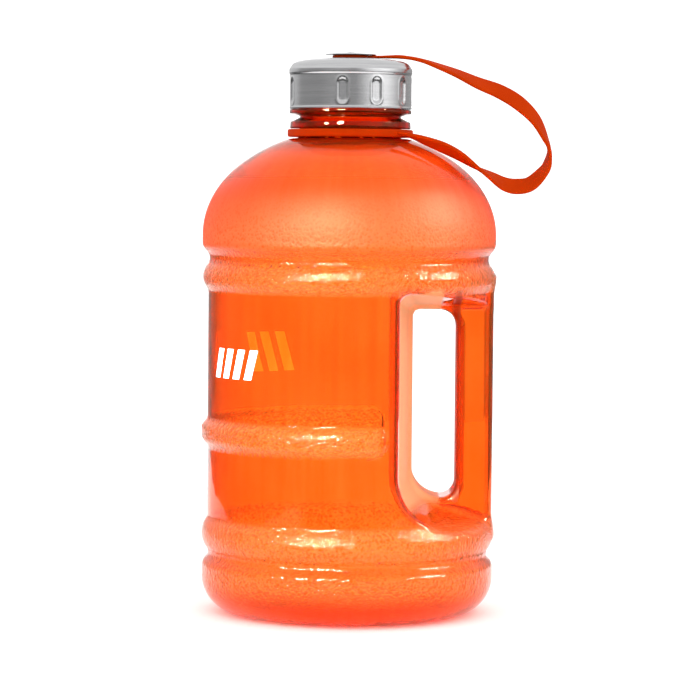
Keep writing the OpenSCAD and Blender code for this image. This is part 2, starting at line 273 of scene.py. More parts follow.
def middle_bead(theta, z):
    """How far the middle bead stands out of the wall. theta is measured from the handle."""
    middle, half, rise = MIDDLE_BEAD
    past_end = np.maximum(MIDDLE_BEAD_FULL - np.abs(theta), 0) * WALL_R / MIDDLE_BEAD_END
    height = np.maximum(0, 1 - ((z - middle) / half) ** 2 - past_end ** 2)
    softer_foot = 1 - 0.35 * (1 - height) ** 3
    return rise * height * softer_foot


def foot_field(rho, z):
    """The rounded foot, with the push-up under it."""
    foot = corner(rho - FOOT_R - FOOT_SLACK * (z > FOOT_TOP), -z, FOOT_ROUND)
    push = PUSH_UP * (1 - (rho / PUSH_UP_R) ** 4) - z
    return smax(foot, push, FOOT_EDGE)


def dome_field(rho, z):
    """Nearly the distance to the half ellipsoid on top."""
    up = np.maximum(z - DOME_Z, 0)
    k0 = np.hypot(rho / DOME_A, up / DOME_B)
    k1 = np.hypot(rho / DOME_A ** 2, up / DOME_B ** 2)
    return k0 * (k0 - 1) / np.maximum(k1, 1e-9)


def recess_field(x, y, z):
    """The recess on each side of the grip: it widens from the finger opening out to the wall."""
    out = np.abs(y) / RECESS_Y
    wider, lower, higher = RECESS_GROWTH
    ramp_x, steepness = RECESS_RAMP
    edge = HOLE_X[0] - wider * out - x
    floor = HOLE_Z[0] - lower * out - steepness * np.maximum(x - ramp_x, 0)
    low = corner(edge, floor - z, RECESS_LOW_CORNER[0] + RECESS_LOW_CORNER[1] * out)
    ceiling = HOLE_Z[1] + higher * out
    high = corner(edge, z - ceiling, RECESS_HIGH_CORNER[0] + RECESS_HIGH_CORNER[1] * out)
    return np.maximum(low, high)


def grip_field(x, y, z, rho):
    """The upright grip between the lowest and the highest bead."""
    grip = corner(x - GRIP_R, np.abs(y) - GRIP_Y, GRIP_ROUND)
    grip = smax(grip, rho - GRIP_R, GRIP_EDGE)
    ends = smax(BEADS[0][0] - z, z - BEADS[1][0], GRIP_END_EDGE)
    return np.maximum(grip, np.maximum(GRIP_X - x, ends))


def hole_field(x, z):
    """The finger opening, straight through from front to back."""
    left, right = HOLE_X[0] - x, x - HOLE_X[1]
    low, high = HOLE_Z[0] - z, z - HOLE_Z[1]
    a, b, c, d = HOLE_CORNERS
    return np.maximum(np.maximum(corner(left, low, a), corner(left, high, b)),
                      np.maximum(corner(right, high, c), corner(right, low, d)))


def jug_field(p):
    """Signed distance, nearly, from points to the outside of the jug up to the seam at its neck."""
    x, y, z = p[..., 0], p[..., 1], p[..., 2]
    rho = np.hypot(x, y)
    side = (rho - np.interp(z, WALL_Z, WALL_TABLE)) / np.interp(z, WALL_Z, WALL_SLOPE)
    side = side - middle_bead(np.arctan2(y, x), z)
    body = np.maximum(np.maximum(side, dome_field(rho, z)), foot_field(rho, z))
    body = smax(body, -recess_field(x, y, z), RECESS_EDGE)
    body = smin(body, grip_field(x, y, z, rho), GRIP_JOIN)
    body = smax(body, -hole_field(x, z), HOLE_EDGE)
    body = smax(body, z - LEDGE_Z, LEDGE_EDGE)
    return smin(body, rho - NECK_R + np.maximum(0, NECK_STARTS - z), NECK_JOIN)


def gradient(field, p, step=0.04):
    """The field's slope at the points, from differences over two small steps."""
    g = np.empty_like(p)
    for i, move in enumerate(np.eye(3) * step):
        g[:, i] = (field(p + move) - field(p - move)) / (2 * step)
    return g


def surface_net(field, xs, ys, zs):
    """Points and quads of the field's zero surface, one point in each grid cell that it crosses."""
    grid = np.stack(np.meshgrid(xs, ys, zs, indexing="ij"), axis=-1)
    value = field(grid)
    cells = tuple(n - 1 for n in value.shape)
    total, count = np.zeros(cells + (3,)), np.zeros(cells)
    index = np.arange(np.prod(cells)).reshape(cells)
    quads = []
    for axis in range(3):
        a = np.take(value, range(value.shape[axis] - 1), axis)
        b = np.take(value, range(1, value.shape[axis]), axis)
        near = list(np.nonzero((a < 0) != (b < 0)))
        far = [n + (k == axis) for k, n in enumerate(near)]
        va, vb = a[tuple(near)], b[tuple(near)]
        share = (va / (va - vb))[:, None]
        p = grid[tuple(near)] * (1 - share) + grid[tuple(far)] * share
        o1, o2 = [k for k in range(3) if k != axis]
        around = []
        for d1, d2 in ((1, 1), (0, 1), (0, 0), (1, 0)):
            c = [n - (d1 if k == o1 else d2 if k == o2 else 0) for k, n in enumerate(near)]
            inside = np.all([(c[k] >= 0) & (c[k] < cells[k]) for k in range(3)], axis=0)
            cell = tuple(np.where(inside, k, 0) for k in c)
            kept = tuple(k[inside] for k in cell)
            np.add.at(total, kept, p[inside])
            np.add.at(count, kept, 1)
            around.append((index[cell], inside))
        whole = np.all([inside for _, inside in around], axis=0)
        quad = np.stack([cell[whole] for cell, _ in around], axis=1)
        flip = (va[whole] < 0) == (axis == 1)
        quad[flip] = quad[flip][:, ::-1]
        quads.append(quad)
    quads = np.concatenate(quads)
    used = np.unique(quads)
    renumber = np.full(index.size, -1)
    renumber[used] = np.arange(len(used))
    return total.reshape(-1, 3)[used] / count.reshape(-1)[used][:, None], renumber[quads]


def onto(field, points, level=0.0, rounds=2):
    """The points moved along the field's gradient to where it has the given value."""
    for _ in range(rounds):
        g = gradient(field, points)
        miss = (field(points) - level) / np.maximum((g * g).sum(1), 0.25)
        points = points - np.clip(miss[:, None] * g, -1, 1)
    return points


def relax(field, points, quads, rounds=4):
    """Evens the quads out along the surface. Returns the points and the edges of the open rim."""
    edges = np.concatenate([quads[:, [i, (i + 1) % 4]] for i in range(4)])
    edges, uses = np.unique(np.sort(edges, axis=1), axis=0, return_counts=True)
    rim_edges = edges[uses == 1]
    on_rim = np.zeros(len(points), bool)
    on_rim[rim_edges.reshape(-1)] = True
    both = np.concatenate([edges, edges[:, ::-1]])
    rim_both = np.concatenate([rim_edges, rim_edges[:, ::-1]])
    links = np.concatenate([both[~on_rim[both[:, 0]]], rim_both])
    for n in range(rounds + 1):
        if n:
            total, count = np.zeros_like(points), np.zeros(len(points))
            np.add.at(total, links[:, 0], points[links[:, 1]])
            np.add.at(count, links[:, 0], 1)
            step = total / count[:, None] - points
            g = unit(gradient(field, points))
            points = points + 0.6 * (step - g * (step * g).sum(1)[:, None])
        points = onto(field, points)
        points[on_rim, 2] = SEAM_Z
        points[on_rim, :2] *= (NECK_R / np.hypot(*points[on_rim, :2].T))[:, None]
    return points, rim_edges


def in_order(edges):
    """The points of one closed loop of edges, in the order that they follow each other."""
    neighbours = {}
    for a, b in edges.tolist():
        neighbours.setdefault(a, []).append(b)
        neighbours.setdefault(b, []).append(a)
    loop = [edges[0, 0]]
    step = neighbours[loop[0]][0]
    while step != loop[0]:
        loop.append(step)
        step = next(n for n in neighbours[step] if n != loop[-2])
    return loop


# ---------------------------------------------------------------- the jug's wall


def thread_height(theta, z):
    """How far the thread stands out of the neck at those angles and heights."""
    height = np.zeros_like(z)
    for turn in range(math.ceil(THREAD_TURNS)):
        along = np.mod(theta / (2 * math.pi), 1) + turn
        off = np.abs(z - THREAD_Z - THREAD_LEAD * along)
        flank = np.clip((THREAD_ROOT / 2 - off) / ((THREAD_ROOT - THREAD_CREST) / 2), 0, 1)
        ends = np.clip(THREAD_RUNOUT * np.minimum(along, THREAD_TURNS - along), 0, 1)
        height = np.maximum(height, THREAD_DEPTH * ease(flank, 0, 1) * ends)
    return height


def neck_rows():
    """The neck's outline from the seam outside, over the rim, to the seam inside."""
    thread_top, mouth_z, bore_foot = RIM_Z - 0.8, RIM_Z - 2, 224
    outer = split_long(rounded(NECK_OUTLINE), 1.2)
    threaded = split_long(np.array([[FINISH_R, FINISH_Z], [FINISH_R, thread_top]]), 0.3)
    rim = rounded([(FINISH_R, thread_top), (FINISH_R, RIM_Z, RIM_ROUND), (MOUTH_R, RIM_Z, RIM_ROUND),
                   (MOUTH_R, mouth_z)])
    inner = split_long(np.array([[MOUTH_R, mouth_z], [MOUTH_R, bore_foot], [NECK_R - WALL_T, SEAM_Z]]), 4)
    rows = np.concatenate([outer, threaded[1:], rim[1:], inner[1:]])
    return rows[1:-1]


def jug_wall():
    """The blow-moulded wall as one closed shell, with the handle, the neck and its thread."""
    cell, layer = 2.02, 1.9
    half = 71.5
    xs = np.arange(-half, half, cell)
    ys = np.arange(-half + 0.3, half + cell, cell)
    zs = np.append(np.arange(-1.3, SEAM_Z - 1.2, layer), SEAM_Z + 1.0)
    outer, quads = surface_net(jug_field, xs, ys, zs)
    outer, rim_edges = relax(jug_field, outer, quads)
    normals = unit(gradient(jug_field, outer))
    inner = onto(jug_field, outer - WALL_T * normals, -WALL_T, rounds=1)
    inner_normals = unit(gradient(jug_field, inner))

    loop = in_order(rim_edges)
    theta = np.arctan2(outer[loop, 1], outer[loop, 0])
    if np.mod(theta[1] - theta[0], 2 * math.pi) > math.pi:
        loop, theta = loop[::-1], theta[::-1]
    inner[loop, 0] = (NECK_R - WALL_T) * np.cos(theta)
    inner[loop, 1] = (NECK_R - WALL_T) * np.sin(theta)
    inner[loop, 2] = SEAM_Z

    rows = neck_rows()
    r = np.repeat(rows[:, :1], len(loop), axis=1)
    z = np.repeat(rows[:, 1:], len(loop), axis=1)
    angles = np.repeat(theta[None], len(rows), axis=0)
    threaded = (r > FINISH_R - 0.01) & (z > FINISH_Z) & (z < RIM_Z - RIM_ROUND)
    r = r + np.where(threaded, thread_height(angles, z), 0)
    neck = np.stack([r * np.cos(angles), r * np.sin(angles), z], axis=-1).reshape(-1, 3)

    count = len(outer)
    ring_ids = [np.array(loop)]
    ring_ids += [2 * count + i * len(loop) + np.arange(len(loop)) for i in range(len(rows))]
    ring_ids.append(np.array(loop) + count)
    strip = [np.stack([a, np.roll(a, -1), np.roll(b, -1), b], axis=1)
             for a, b in zip(ring_ids, ring_ids[1:])]
    points = np.concatenate([outer, inner, neck])
    faces = np.concatenate([quads, quads[:, ::-1] + count] + strip)
    piece = new_piece("jug_wall", points, faces)
    smooth = np.zeros((len(points), 3), np.float32)
    piece.data.vertex_normals.foreach_get("vector", smooth.reshape(-1))
    keep = np.ones(count, bool)
    keep[loop] = False
    smooth[:count][keep] = normals[keep]
    smooth[count:2 * count][keep] = -inner_normals[keep]
    piece.data.normals_split_custom_set_from_vertices(smooth.tolist())
    return piece


# ---------------------------------------------------------------- printed motif


def print_bar(name, start, width, low, high):
    """A slanted printed bar on the wall. start and width are measured along the wall, from the -X side."""
    columns = max(2, round(width / 1.5))
    rows = 8
    outline = []
    for radius in (WALL_R + INK_GAP, WALL_R + INK_GAP + INK_T):
        for i in range(rows + 1):
            for j in range(columns + 1):
                z = low + (high - low) * i / rows
                along = start + width * j / columns + BAR_SLANT * (z - low)
                a = math.pi + along / WALL_R
                outline.append((radius * math.cos(a), radius * math.sin(a), z))
    wide = columns + 1
    layer = wide * (rows + 1)
    faces = []
    for i in range(rows):
        for j in range(columns):
            a = i * wide + j
            faces.append((a, a + wide, a + wide + 1, a + 1))
            faces.append((layer + a, layer + a + 1, layer + a + wide + 1, layer + a + wide))
    border = list(range(columns + 1))
    border += [i * wide + columns for i in range(1, rows + 1)]
    border += [rows * wide + j for j in range(columns - 1, -1, -1)]
    border += [i * wide for i in range(rows - 1, 0, -1)]
    for a, b in zip(border, border[1:] + border[:1]):
        faces.append((a, b, b + layer, a + layer))
    return new_piece(name, outline, faces)


def joined(pieces, name):
    """One object from several meshes that don't touch."""
    bpy.ops.object.select_all(action="DESELECT")
    for piece in pieces:
        piece.select_set(True)
    bpy.context.view_layer.objects.active = pieces[0]
    bpy.ops.object.join()
    pieces[0].name = name
    return pieces[0]


# ---------------------------------------------------------------- strap


def spline(points, steps):
    """Points along a Catmull-Rom curve through the given points."""
    p = np.array(points, float)
    p = np.concatenate([p[:1], p, p[-1:]])
    out = []
    for i in range(1, len(p) - 2):
        a, b, c, d = p[i - 1:i + 3]
        for t in np.arange(steps) / steps:
            out.append(0.5 * (2 * b + (c - a) * t + (2 * a - 5 * b + 4 * c - d) * t ** 2
                              + (3 * b - a - 3 * c + d) * t ** 3))
    out.append(p[-2])
    return np.array(out)


def strap_section(width, thick):
    """A flat section with rounded edges, as (across, through) points."""
    steps = 5
    r = 0.42 * thick
    out = []
    for sx, sy, a0 in ((1, 1, 0), (-1, 1, 90), (-1, -1, 180), (1, -1, 270)):
        for k in range(steps + 1):
            a = math.radians(a0 + 90 * k / steps)
            across = sx * (width / 2 - r) + r * math.cos(a)
            through = sy * (thick / 2 - r) + r * math.sin(a)
            out.append((across, through))
    return out


def strap_band():
    """The strap's flat band from the eye to the collar."""
    line = spline(STRAP_ROUTE, SPAN_STEPS)
    points = []
    for i, (x, y, z, twist) in enumerate(line):
        run = unit(line[min(i + 1, len(line) - 1), :3] - line[max(i - 1, 0), :3])
        flat = unit(np.cross(np.cross(run, (0, 1, 0)), run))
        up = np.cross(run, flat)
        t = math.radians(twist)
        wide = flat * math.cos(t) + up * math.sin(t)
        deep = np.cross(run, wide)
        at_tab = i < SPAN_STEPS * TAB_SPANS
        thick = float(np.interp(x, TAB_X, (TAB_T, STRAP_T))) if at_tab else STRAP_T
        section = strap_section(STRAP_W, thick - STRAP_INSET)
        points += [np.array((x, y, z)) + wide * a + deep * b for a, b in section]
    columns = len(section)
    return new_piece("strap", points, grid_faces(len(line), columns) + end_faces(len(points), columns))


def united(base, *others):
    """base with the other closed meshes welded to it; the others are deleted."""
    for other in others:
        modifier = base.modifiers.new("weld", "BOOLEAN")
        modifier.operation = "UNION"
        modifier.solver = "EXACT"
        modifier.object = other
    evaluated = base.evaluated_get(bpy.context.evaluated_depsgraph_get())
    mesh = bpy.data.meshes.new_from_object(evaluated)
    base.modifiers.clear()
    base.data = mesh
    for other in others:
        bpy.data.objects.remove(other)
    return base


def strap():
    """The band with its collar round the neck and its eye on the cap, as one piece."""
    inner, outer = COLLAR_R
    low, high = COLLAR_Z
    collar = revolve("collar", rounded([(inner, low, 0.5), (outer, low, 0.7), (outer, high, 0.7),
                                        (inner, high, 0.5)], closed=True), 128)
    low, high = EYE_Z
    eye = revolve("eye", rounded([(RIVET_HOLE_R, low, 0.2), (EYE_R, low, 0.4), (EYE_R, high, 0.4),
                                  (RIVET_HOLE_R, high, 0.2)], closed=True), 96)
    piece = united(strap_band(), collar, eye)
    piece.data.shade_smooth()
    piece.data.set_sharp_from_angle(angle=math.radians(35))
    return piece


# ---------------------------------------------------------------- cap


def dimpled(r, theta, z):
    """Presses the row of upright oval dimples into the cap's side."""
    wall = (z > CAP_Z0 + 0.8) & (z < 248.2)
    height, place, width = DIMPLE_LIP
    for k in range(DIMPLE_STEPS):
        if k == DIMPLE_PLAIN:
            continue
        middle = math.radians(DIMPLE_FIRST + 360 / DIMPLE_STEPS * k)
        across = CAP_R * (np.mod(theta - middle + math.pi, 2 * math.pi) - math.pi)
        upright = np.maximum(np.abs(z - DIMPLE_Z) - (DIMPLE_H - DIMPLE_W) / 2, 0)
        outside = np.hypot(across, upright) - DIMPLE_W / 2
        pressed = DIMPLE_DEPTH * (1 - ease(outside, *DIMPLE_SLOPE))
        lip = height * np.exp(-((outside - place) / width) ** 2)
        r = r - np.where(wall, pressed - lip, 0)
    return r


def cap_cover():
    """The pressed steel shell, with its rolled lower edge, top bead and crowned top."""
    t = CAP_T
    columns = 384
    outer = [
        (CAP_R + 0.15, CAP_Z0, 0.2), (CAP_R + 0.25, CAP_Z0 + 0.5, 0.4), (CAP_R, CAP_Z0 + 1.2, 0.8),
        (CAP_R, 247.9, 0.9), (CAP_BEAD_R, 248.7, 0.7), (CAP_BEAD_R, 250.6, 1.6),
        (CAP_BEAD_R - 1.7, 253.2, 2.2), (24.4, 254.2, 2.0), (19, 255.1, 8), (12, CAP_TOP_Z, 8),
        (RIVET_HOLE_R, CAP_TOP_Z, 0.15)]
    inner = [
        (RIVET_HOLE_R, CAP_TOP_Z - t, 0.1), (12, CAP_TOP_Z - t, 8), (19, 255.1 - t, 8), (24.1, 254.2 - t, 2),
        (CAP_BEAD_R - 2.1, 252.7, 1.8), (CAP_BEAD_R - t, 250.4, 1.4), (CAP_BEAD_R - t, 248.9, 0.5),
        (CAP_R - t, 248.1, 0.8), (CAP_R - t, CAP_Z0 + 1, 0.5), (CAP_R - t + 0.1, CAP_Z0, 0.2)]
    return revolve("cap_cover", closed_rows(outer + inner, steps=6, longest=0.7), columns, dimpled)


def top_disc():
    """The disc over the strap's eye, thinner at its edge."""
    low, high = DISC_Z
    corners = [
        (RIVET_HOLE_R, low, 0.1), (DISC_R - 0.5, low, 0.3), (DISC_R, low + 0.25, 0.2),
        (DISC_R - 0.15, low + 0.55, 0.2), (9, high - 0.3, 6), (4.2, high, 3), (RIVET_HOLE_R, high, 0.1)]
    return revolve("top_disc", closed_rows(corners, steps=5, longest=0.6), 192)


def rivet_pin():
    """The rivet, closed on its axis at both ends."""
    head_r, head_h, tail_r, pin_r = 2.6, 0.5, 3.4, 2.0
    foot, shoulder, top = 249.7, 250.4, DISC_Z[1] + 0.05
    head = [(head_r * math.cos(a), top + head_h * math.sin(a)) for a in np.radians((0, 20, 40, 60, 78))]
    outline = rounded([(0.6, foot), (tail_r, foot, 0.35), (tail_r, shoulder, 0.15), (pin_r, shoulder, 0.15),
                       (pin_r, top, 0.1), (head_r - 0.05, top, 0.1)])
    outline = np.concatenate([outline, head])
    columns = 64
    angle = np.arange(columns) * 2 * math.pi / columns
    points = [(r * math.cos(a), r * math.sin(a), z) for r, z in outline for a in angle]
    faces = grid_faces(len(outline), columns) + end_faces(len(points), columns)
    return new_piece("rivet_pin", points, faces)


# ---------------------------------------------------------------- materials


class Painter:
    """One node material with a Principled shader, and short ways to add nodes to it."""

    def __init__(self, name, **settings):
        self.material = bpy.data.materials.new(name)
        self.material.use_nodes = True
        self.tree = self.material.node_tree
        self.shader = self.tree.nodes["Principled BSDF"]
        self.output = self.tree.nodes["Material Output"]
        for socket, value in settings.items():
            self.shader.inputs[socket.replace("_", " ")].default_value = value

    def add(self, kind, values=None, **settings):
        node = self.tree.nodes.new(kind)
        for key, value in settings.items():
            setattr(node, key, value)
        for socket, value in (values or {}).items():
            if isinstance(value, bpy.types.NodeSocket):
                self.tree.links.new(value, node.inputs[socket])
            else:
                node.inputs[socket].default_value = value
        return node

    def link(self, socket, name):
        self.tree.links.new(socket, self.shader.inputs[name])

    def math(self, operation, a, b=0.0):
        return self.add("ShaderNodeMath", {0: a, 1: b}, operation=operation).outputs[0]

    def place(self):
        return self.add("ShaderNodeTexCoord").outputs["Object"]

    def noise(self, vector, scale, detail=2.0, roughness=0.5):
        return self.add("ShaderNodeTexNoise", {"Vector": vector, "Scale": scale, "Detail": detail,
                                               "Roughness": roughness}).outputs[0]

    def fade(self, value, start, end):
        """0 at start and 1 at end, where start may be the larger one."""
        return self.add("ShaderNodeMapRange", {0: value, 1: start, 2: end, 3: 0.0, 4: 1.0}).outputs[0]

    def mix(self, factor, a, b):
        return self.add("ShaderNodeMix", {0: factor, 6: a, 7: b}, data_type="RGBA").outputs[2]

    def ramp(self, factor, stops):
        node = self.add("ShaderNodeValToRGB", {0: factor})
        elements = node.color_ramp.elements
        while len(elements) < len(stops):
            elements.new(0.5)
        for element, (position, value) in zip(elements, stops):
            element.position = position
            element.color = value if isinstance(value, tuple) else (value, value, value, 1)
        return node.outputs[0]

    def bump(self, height, distance):
        node = self.add("ShaderNodeBump", {"Height": height, "Distance": distance, "Strength": 1.0})
        self.link(node.outputs[0], "Normal")


# How strong the mould's texture is at each height on the jug, in millimetres
TEXTURE = (
    (0, 0.1), (9, 0.1), (18, 0.9), (22, 0.9), (24, 0.4), (28.5, 0.5), (31, 1.0), (43.5, 1.0), (46, 0),
    (147.5, 0), (150.5, 1), (160, 1), (162.5, 0.4), (167, 0.4), (169.5, 0.7), (177, 0.6), (186, 0.3),
    (194, 0.08), (203, 0),
)
BEAD_TEXTURE = ((76, 0), (78.5, 1), (88.5, 1), (91, 0))
# Where the plastic looks different, in millimetres: heights first, then distances towards the handle. The
# neck table marks painted shade on thicker plastic; the opening and side tables mark the painted reflection
# beside the opening and the painted shade on the grip's inner edge.
THICK_SHADED_NECK = ((211.5, 0), (218.5, 1))
DULL_SHOULDER = ((165, 0), (172.5, 1), (190, 1), (210, 0))
AT_OPENING = ((50, 0), (55, 1), (147.5, 1), (152.5, 0))
BODY_SIDE = ((21, 0), (22.5, 1), (41.5, 1), (43, 0))
GRIP_SIDE = ((47, 0), (48.25, 1), (50.5, 1), (51.75, 0))
RAMP_LENGTH = 250.0     # the tables above run from 0 to this, because a ramp's factor runs from 0 to 1


def jug_plastic():
    """Clear orange plastic, with a leathery texture where the mould has one. It has a painted reflection
    beside the finger opening and painted shade on the grip's inner edge and the neck.
    """
    p = Painter("jug_plastic", Metallic=0.0, IOR=1.4, Specular_IOR_Level=0.4)
    p.shader.inputs["Specular Tint"].default_value = (1.0, 0.54, 0.32, 1)
    place = p.place()
    x, y, z = p.add("ShaderNodeSeparateXYZ", {0: place}).outputs

    def by_mm(axis, table):
        share = p.math("DIVIDE", axis, RAMP_LENGTH * MM)
        return p.ramp(share, [(mm / RAMP_LENGTH, value) for mm, value in table])

    # Texture: bands of leathery grain, none of it on the grip at the middle bead's height
    off_grip = p.fade(x, 0.0165, 0.0125)
    bead = p.math("MULTIPLY", by_mm(z, BEAD_TEXTURE), off_grip)
    textured = p.math("MAXIMUM", by_mm(z, TEXTURE), bead)
    pebble = p.add("ShaderNodeTexVoronoi", {"Vector": place, "Scale": 700.0, "Smoothness": 0.25},
                   feature="SMOOTH_F1").outputs["Distance"]
    coarse = p.noise(place, 430.0, detail=3.0, roughness=0.6)
    leather = p.math("ADD", p.math("MULTIPLY", pebble, 0.7), coarse)
    relief = p.math("MULTIPLY", p.math("SUBTRACT", leather, 0.75), textured)
    wobble = p.noise(place, 42.0, detail=1.0)
    p.bump(p.math("ADD", relief, p.math("MULTIPLY", wobble, 1.4)), 0.00036)

    # Masks: a painted reflection on the strip beside the opening, which is also milkier and rougher there,
    # and painted shade on the grip's inner edge and on the neck, whose plastic is also thicker
    beside = p.math("ABSOLUTE", y)
    at_opening = by_mm(z, AT_OPENING)
    in_recess = p.fade(beside, 0.0565, 0.0545)
    painted_reflection_strip = p.math("MULTIPLY", p.math("MULTIPLY", in_recess, by_mm(x, BODY_SIDE)), at_opening)
    edge = p.math("MULTIPLY", by_mm(x, GRIP_SIDE), at_opening)
    # painted shade on the grip's inner edge and on the neck, where the plastic is also thicker
    thick = p.math("MAXIMUM", by_mm(z, THICK_SHADED_NECK), p.math("MULTIPLY", edge, 0.85))

    # Colour: clear plastic with upright flow streaks, frosted where it is textured, painted lighter beside
    # the opening as a painted reflection, and painted dark red on the grip's inner edge and the neck as
    # painted shade, on the neck partly the thicker plastic's own deeper colour
    tone = p.noise(place, 22.0, detail=3.0)
    around = p.math("MULTIPLY", p.math("ARCTAN2", y, x), 14.0)
    drawn = p.add("ShaderNodeCombineXYZ", {0: around, 2: p.math("MULTIPLY", z, 9.0)}).outputs[0]
    streaks = p.noise(drawn, 1.0, detail=4.0, roughness=0.65)
    shade = p.math("ADD", p.math("MULTIPLY", tone, 0.5), p.math("MULTIPLY", streaks, 0.5))
    clear = p.ramp(shade, [(0.40, (1.0, 0.49, 0.10, 1)), (0.60, (1.0, 0.60, 0.18, 1))])
    frosted = p.ramp(leather, [(0.60, (1.0, 0.38, 0.06, 1)), (0.88, (1.0, 0.72, 0.26, 1))])
    # painted reflection: light salmon orange on the strip beside the opening
    with_painted_reflection = p.mix(painted_reflection_strip, p.mix(textured, clear, frosted), (1.0, 0.65, 0.3, 1))
    # painted shade: dark red on the grip's inner edge, and on the neck, where its thicker plastic is also
    # deeper in colour
    p.link(p.mix(thick, with_painted_reflection, (0.54, 0.2, 0.008, 1)), "Base Color")

    milky = p.math("ADD", p.math("MULTIPLY", textured, 0.1), p.math("MULTIPLY", painted_reflection_strip, 0.55))
    p.link(p.math("SUBTRACT", 0.97, milky), "Transmission Weight")
    rough = p.math("ADD", p.math("MULTIPLY", textured, 0.04), p.math("MULTIPLY", tone, 0.03))
    dull = p.math("ADD", by_mm(z, DULL_SHOULDER), p.math("ADD", painted_reflection_strip, edge))
    p.link(p.math("ADD", rough, p.math("ADD", p.math("MULTIPLY", dull, 0.52), 0.01)), "Roughness")
    volume = p.add("ShaderNodeVolumeAbsorption", {"Color": (1.0, 0.57, 0.35, 1), "Density": 850.0})
    p.tree.links.new(volume.outputs[0], p.output.inputs["Volume"])
    return p.material


def strap_silicone():
    """Matte moulded silicone with a fine grain and a few soft stains."""
    p = Painter("strap_silicone", Metallic=0.0, IOR=1.41, Specular_IOR_Level=0.03)
    place = p.place()
    grain = p.noise(place, 2600.0, detail=2.0)
    flow = p.noise(place, 90.0, detail=3.0)
    p.link(p.ramp(flow, [(0.3, (0.43, 0.028, 0.0, 1)), (0.7, (0.48, 0.034, 0.0, 1))]), "Base Color")
    p.link(p.math("ADD", p.math("MULTIPLY", grain, 0.12), 0.52), "Roughness")
    p.bump(p.math("ADD", grain, p.math("MULTIPLY", flow, 0.8)), 0.00003)
    return p.material


def brushed(name, colour, rough, depth):
    """Steel with fine lines that run round the part's axis."""
    p = Painter(name, Metallic=1.0)
    place = p.place()
    x, y, z = p.add("ShaderNodeSeparateXYZ", {0: place}).outputs
    rho = p.math("SQRT", p.math("ADD", p.math("MULTIPLY", x, x), p.math("MULTIPLY", y, y)))
    angle = p.math("ARCTAN2", y, x)
    per_metre, per_radian = 7500.0, 3.0
    lines = p.add("ShaderNodeCombineXYZ", {0: p.math("MULTIPLY", rho, per_metre),
                                           1: p.math("MULTIPLY", angle, per_radian),
                                           2: p.math("MULTIPLY", z, per_metre)}).outputs[0]
    fine = p.noise(lines, 1.0, detail=3.0, roughness=0.7)
    coarse = p.noise(lines, 0.22, detail=2.0)
    marks = p.math("ADD", p.math("MULTIPLY", fine, 0.6), p.math("MULTIPLY", coarse, 0.4))
    darker = tuple(0.8 * c for c in colour) + (1,)
    p.link(p.ramp(marks, [(0.3, darker), (0.62, colour + (1,))]), "Base Color")
    p.link(p.math("ADD", p.math("MULTIPLY", marks, 0.18), rough - 0.09), "Roughness")
    p.bump(marks, depth)
    return p.material


def polished_steel():
    """Bright steel with faint cloudy marks from handling."""
    p = Painter("polished_steel", Metallic=1.0)
    place = p.place()
    cloud = p.noise(place, 160.0, detail=4.0)
    p.link(p.ramp(cloud, [(0.3, (0.62, 0.62, 0.63, 1)), (0.7, (0.78, 0.78, 0.79, 1))]), "Base Color")
    p.link(p.math("ADD", p.math("MULTIPLY", cloud, 0.12), 0.09), "Roughness")
    p.bump(p.noise(place, 700.0), 0.000008)
    return p.material


def liner_plastic():
    """Black moulded plastic with a fine satin grain."""
    p = Painter("liner_plastic", Metallic=0.0, IOR=1.49)
    place = p.place()
    grain = p.noise(place, 1500.0, detail=2.0)
    flow = p.noise(place, 60.0, detail=2.0)
    p.link(p.ramp(flow, [(0.3, (0.012, 0.012, 0.013, 1)), (0.7, (0.022, 0.022, 0.024, 1))]), "Base Color")
    p.link(p.math("ADD", p.math("MULTIPLY", grain, 0.15), 0.33), "Roughness")
    p.bump(grain, 0.00002)
    return p.material


def gasket_silicone():
    """Milky silicone, soft and slightly see-through at its edges."""
    p = Painter("gasket_silicone", Metallic=0.0, IOR=1.41, Subsurface_Weight=0.25)
    p.shader.inputs["Subsurface Radius"].default_value = (0.002, 0.002, 0.002)
    place = p.place()
    flow = p.noise(place, 120.0, detail=3.0)
    p.link(p.ramp(flow, [(0.3, (0.72, 0.72, 0.70, 1)), (0.7, (0.80, 0.80, 0.78, 1))]), "Base Color")
    p.link(p.math("ADD", p.math("MULTIPLY", flow, 0.2), 0.4), "Roughness")
    p.bump(flow, 0.00004)
    return p.material


def glowing_print_ink():
    """White screen-printing ink, with a faint mesh in its thickness, and a white glow that is painted light.
    """
    # painted light: the ink glows white though it is no lamp, so the bars stay bright, also when seen through
    # the jug
    p = Painter("glowing_print_ink", Metallic=0.0, IOR=1.5, Emission_Strength=2.6)
    place = p.place()
    cover = p.noise(place, 900.0, detail=2.0)
    p.shader.inputs["Emission Color"].default_value = (1, 1, 1, 1)
    p.link(p.ramp(cover, [(0.3, (0.90, 0.89, 0.88, 1)), (0.6, (0.96, 0.96, 0.96, 1))]), "Base Color")
    p.link(p.math("ADD", p.math("MULTIPLY", cover, 0.15), 0.32), "Roughness")
    p.bump(cover, 0.00002)
    return p.material


# ---------------------------------------------------------------- stage, light and camera

WHITE_LIGHT = 1.4
CEILING = 0.85
# What reflections see of the room: azimuth in degrees, where 0 is behind the camera and 90 to the right,
# and brightness. Above the horizon:
ROOM = (
    (-180, 1.3), (-173, 1.3), (-166, 0.7), (-124, 0.7), (-108, 0.4), (-60, 0.38), (-36, 0.5), (-16, 0.55),
    (2, 0.42), (10, 0.42), (24, 0.85), (44, 1.6), (70, 1.8), (100, 0.8), (120, 0.45), (168, 0.4),
    (173, 1.3), (180, 1.3),
)
